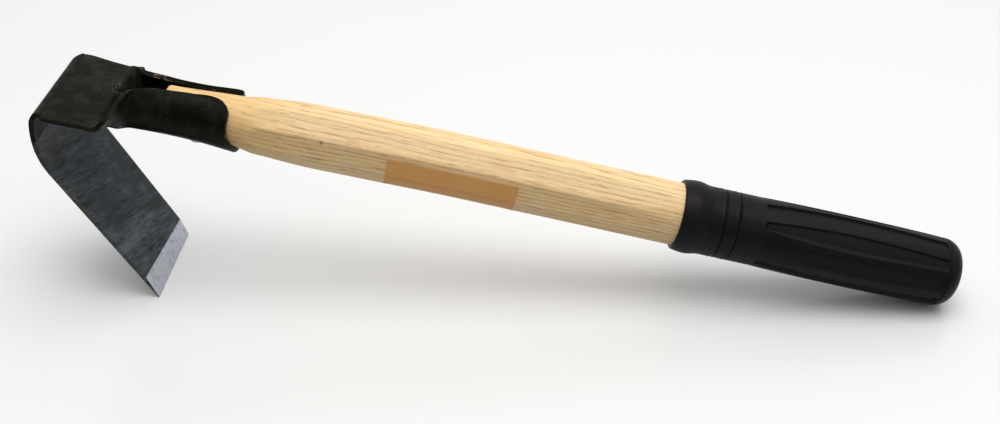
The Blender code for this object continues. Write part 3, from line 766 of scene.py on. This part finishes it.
def makeHead():
    shares = steps(-1, 1, head["columns"])
    shares += [side * (1 - near) for side in (-1, 1) for near in head["edgeColumns"]]
    across = sorted(shares)
    columns = [bladeRow(u) for u in across]
    bladeRows = len(columns[0])
    top, under, rims = [], [], []
    for k in reversed(range(bladeRows)):
        topRow, underRow, rimRow = [], [], []
        for u, column in zip(across, columns):
            point, heading, width, thickness, toEdge = column[k]
            normal = Vector((-math.sin(heading), 0, math.cos(heading)))
            side = Vector((0, u * width, 0))
            topRow.append(point + normal * (head["thickness"] / 2) + side)
            underRow.append(point + normal * (head["thickness"] / 2 - thickness) + side)
            guarded = head["rimGuard"] if toEdge > head["blade"] else 0.0
            rimRow.append(min((1 - abs(u)) * width, toEdge) * 1000 + guarded)
        top.append(topRow)
        under.append(underRow)
        rims.append(rimRow)
    neckEnd = -head["socket"] - head["neck"]
    rollStart = -head["socket"] - head["rollLead"]
    xs = steps(neckEnd, rollStart, 22) + steps(rollStart, rollStart + head["roll"], 40)[1:]
    xs += steps(rollStart + head["roll"], 0, 36)[1:]
    tiny, nudge = 0.0001, 0.01
    for x in xs:
        topRow, underRow, rimRow = [], [], []
        for u in across:
            point = rolledPoint(x, u)
            along = rolledPoint(x + tiny, u) - rolledPoint(x - tiny, u)
            side = rolledPoint(x, min(1.0, u + nudge)) - rolledPoint(x, max(-1.0, u - nudge))
            side.x = 0
            along.x = 2 * tiny
            normal = along.cross(side).normalized() * (head["thickness"] / 2)
            topRow.append(point + normal)
            underRow.append(point - normal)
            guarded = head["rimGuard"] * smooth(1 - abs(x - rollStart - head["roll"] / 2) / head["roll"])
            guarded = head["rimGuard"] if u < 0 and x < rollStart else guarded
            rimRow.append(min((1 - abs(u)) * head["neckWidth"], max(0.0, -x)) * 1000 + guarded)
        top.append(topRow)
        under.append(underRow)
        rims.append(rimRow)
    bm = bmesh.new()
    rim = bm.verts.layers.float.new("rim")
    low, high = addSheet(bm, under, top)
    order = {}
    for grid in (low, high):
        for i, row in enumerate(grid):
            for j, vert in enumerate(row):
                vert[rim] = rims[i][j]
                order[vert] = i
    inner = set(vert for row in low for vert in row)
    looks = [paint, bladeScale, groundSteel]
    bmesh.ops.translate(bm, verts=bm.verts, vec=(0, 0, -handle["drop"]))
    for face in bm.faces:
        places = [order[vert] for vert in face.verts]
        onInner = all(vert in inner for vert in face.verts)
        if max(places) <= head["bevelRows"] and onInner or max(places) == 0:
            face.material_index = looks.index(groundSteel)
        elif max(places) < bladeRows - head["paintedRows"]:
            face.material_index = looks.index(bladeScale)
    return makePiece("forgedHead", bm, looks, "hoe_head", sharpAngle=40, bevel=head["soften"])


screw = {"setback": 0.019, "shank": 0.0017, "length": 0.013, "headRadius": 0.0035, "headHeight": 0.0018,
         "flat": 0.0004, "slot": (0.0008, 0.0007), "sides": 48}


def makeScrew():
    turns = [2 * math.pi * i / screw["sides"] for i in range(screw["sides"])]
    dome = []
    for lean in steps(0, math.pi / 2, 8):
        radius = max(screw["flat"], screw["headRadius"] * math.sin(lean))
        dome.append((radius, -screw["headHeight"] * math.cos(lean) ** 0.8))
    shank = [(screw["shank"], 0.0), (screw["shank"], screw["length"] * 0.7)]
    shank.append((screw["shank"] * 0.2, screw["length"]))
    rings = [[Vector((r * math.cos(t), r * math.sin(t), z)) for t in turns] for r, z in dome + shank]
    bm = bmesh.new()
    addRings(bm, rings)
    piece = makePiece("socketScrew", bm, [screwSteel], "socket_screw")
    width, depth = screw["slot"]
    cutMesh = bmesh.new()
    size = (width, 3 * screw["headRadius"], 2 * depth, 1.0)
    bmesh.ops.create_cube(cutMesh, size=1.0,
                          matrix=Matrix.Translation((0, 0, -screw["headHeight"])) @ Matrix.Diagonal(size))
    cutter = addObject("slotCutter", meshFrom("slotCutter", cutMesh))
    slot = piece.modifiers.new("slot", "BOOLEAN")
    slot.object = cutter
    slot.operation = "DIFFERENCE"
    x = -screw["setback"]
    fall = (socketRadius(0.0) - socketRadius(-head["socket"])) / head["socket"]
    drop = socketRadius(x) + head["thickness"] / 2 + head["clearance"]
    drop += fall * screw["headRadius"] + handle["drop"]
    for data in (piece.data, cutter.data):
        data.transform(Matrix.Translation((x, 0, -drop)))
    cutter.matrix_world = piece.matrix_world
    bpy.context.view_layer.update()
    graph = bpy.context.evaluated_depsgraph_get()
    cutResult = bpy.data.meshes.new_from_object(piece.evaluated_get(graph))
    piece.modifiers.clear()
    piece.data = cutResult
    bpy.data.objects.remove(cutter, do_unlink=True)
    return piece


makeHandle()
makeGrip()
makeLabel()
makeHead()
makeScrew()


studio = {
    "floor": srgb(238, 238, 237), "floorBounce": srgb(182, 182, 180), "floorSize": 8.0,
    "floorRoughness": 0.22, "floorSpecular": 0.4,
    "skyLow": 0.07, "skyHigh": 0.95, "skyAim": (0.1, 0.45, 0.88), "lampTarget": (0, 0, 0.05),
    "key": {"at": (0.16, -0.06, 1.5), "size": 1.25, "power": 12.0},
    "fill": {"at": (0.9, -1.3, 0.8), "size": 1.4, "power": 0.2},
}


def makeFloor():
    bm = bmesh.new()
    half = studio["floorSize"] / 2
    corners = [bm.verts.new((x * half, y * half, 0.0)) for x, y in ((-1, -1), (1, -1), (1, 1), (-1, 1))]
    bm.faces.new(corners)
    mesh = meshFrom("paleTable", bm)
    mat = bpy.data.materials.new("paleTable")
    mat.use_nodes = True
    tree = mat.node_tree
    shader = tree.nodes["Principled BSDF"]
    ray = tree.nodes.new("ShaderNodeLightPath").outputs
    seen = math2(tree, "MAXIMUM", ray["Is Camera Ray"], ray["Is Glossy Ray"])
    seen = math2(tree, "MAXIMUM", seen, ray["Is Transmission Ray"])
    link(tree, blendColour(tree, seen, studio["floorBounce"], studio["floor"]), shader.inputs["Base Color"])
    shader.inputs["Roughness"].default_value = studio["floorRoughness"]
    shader.inputs["Specular IOR Level"].default_value = studio["floorSpecular"]
    mesh.materials.append(mat)
    floor = addObject("paleTable", mesh)


def makeLight(name, spec):
    data = bpy.data.lights.new(name, "AREA")
    data.shape = "DISK"
    data.size = spec["size"]
    data.energy = spec["power"]
    lamp = addObject(name, data)
    lamp.location = spec["at"]
    aim = Vector(studio["lampTarget"]) - lamp.location
    lamp.rotation_euler = aim.to_track_quat("-Z", "Y").to_euler()


def makeSky():
    world = bpy.data.worlds.new("softRoom")
    bpy.context.scene.world = world
    world.use_nodes = True
    tree = world.node_tree
    back = tree.nodes["Background"]
    back.inputs["Color"].default_value = (1.0, 1.0, 1.0, 1.0)
    ray = tree.nodes.new("ShaderNodeLightPath")
    place = tree.nodes.new("ShaderNodeTexCoord").outputs["Generated"]
    room = remap(tree, dotWith(tree, place, studio["skyAim"]), -0.2, 0.9, studio["skyLow"], studio["skyHigh"])
    seen = math2(tree, "MAXIMUM", room, ray.outputs["Is Camera Ray"])
    link(tree, seen, back.inputs["Strength"])


view = {"at": (0.02588, -0.45444, 0.35785), "down": math.radians(35.102), "turn": math.radians(3.933),
        "focalPixels": 1250.0, "imageWidth": 1000.0, "sensor": 36.0}


def makeCamera():
    data = bpy.data.cameras.new("photoView")
    data.sensor_fit = "HORIZONTAL"
    data.sensor_width = view["sensor"]
    data.lens = view["sensor"] * view["focalPixels"] / view["imageWidth"]
    data.clip_start = 0.01
    camera = addObject("photoView", data)
    camera.location = view["at"]
    camera.rotation_euler = (math.pi / 2 - view["down"], 0.0, view["turn"])
    bpy.context.scene.camera = camera


makeFloor()
makeSky()
for lampName in ("key", "fill"):
    makeLight(lampName + "Lamp", studio[lampName])
makeCamera()
bpy.context.scene.view_settings.view_transform = "Standard"
print("stage, lamps and camera made")

bpy.context.view_layer.update()
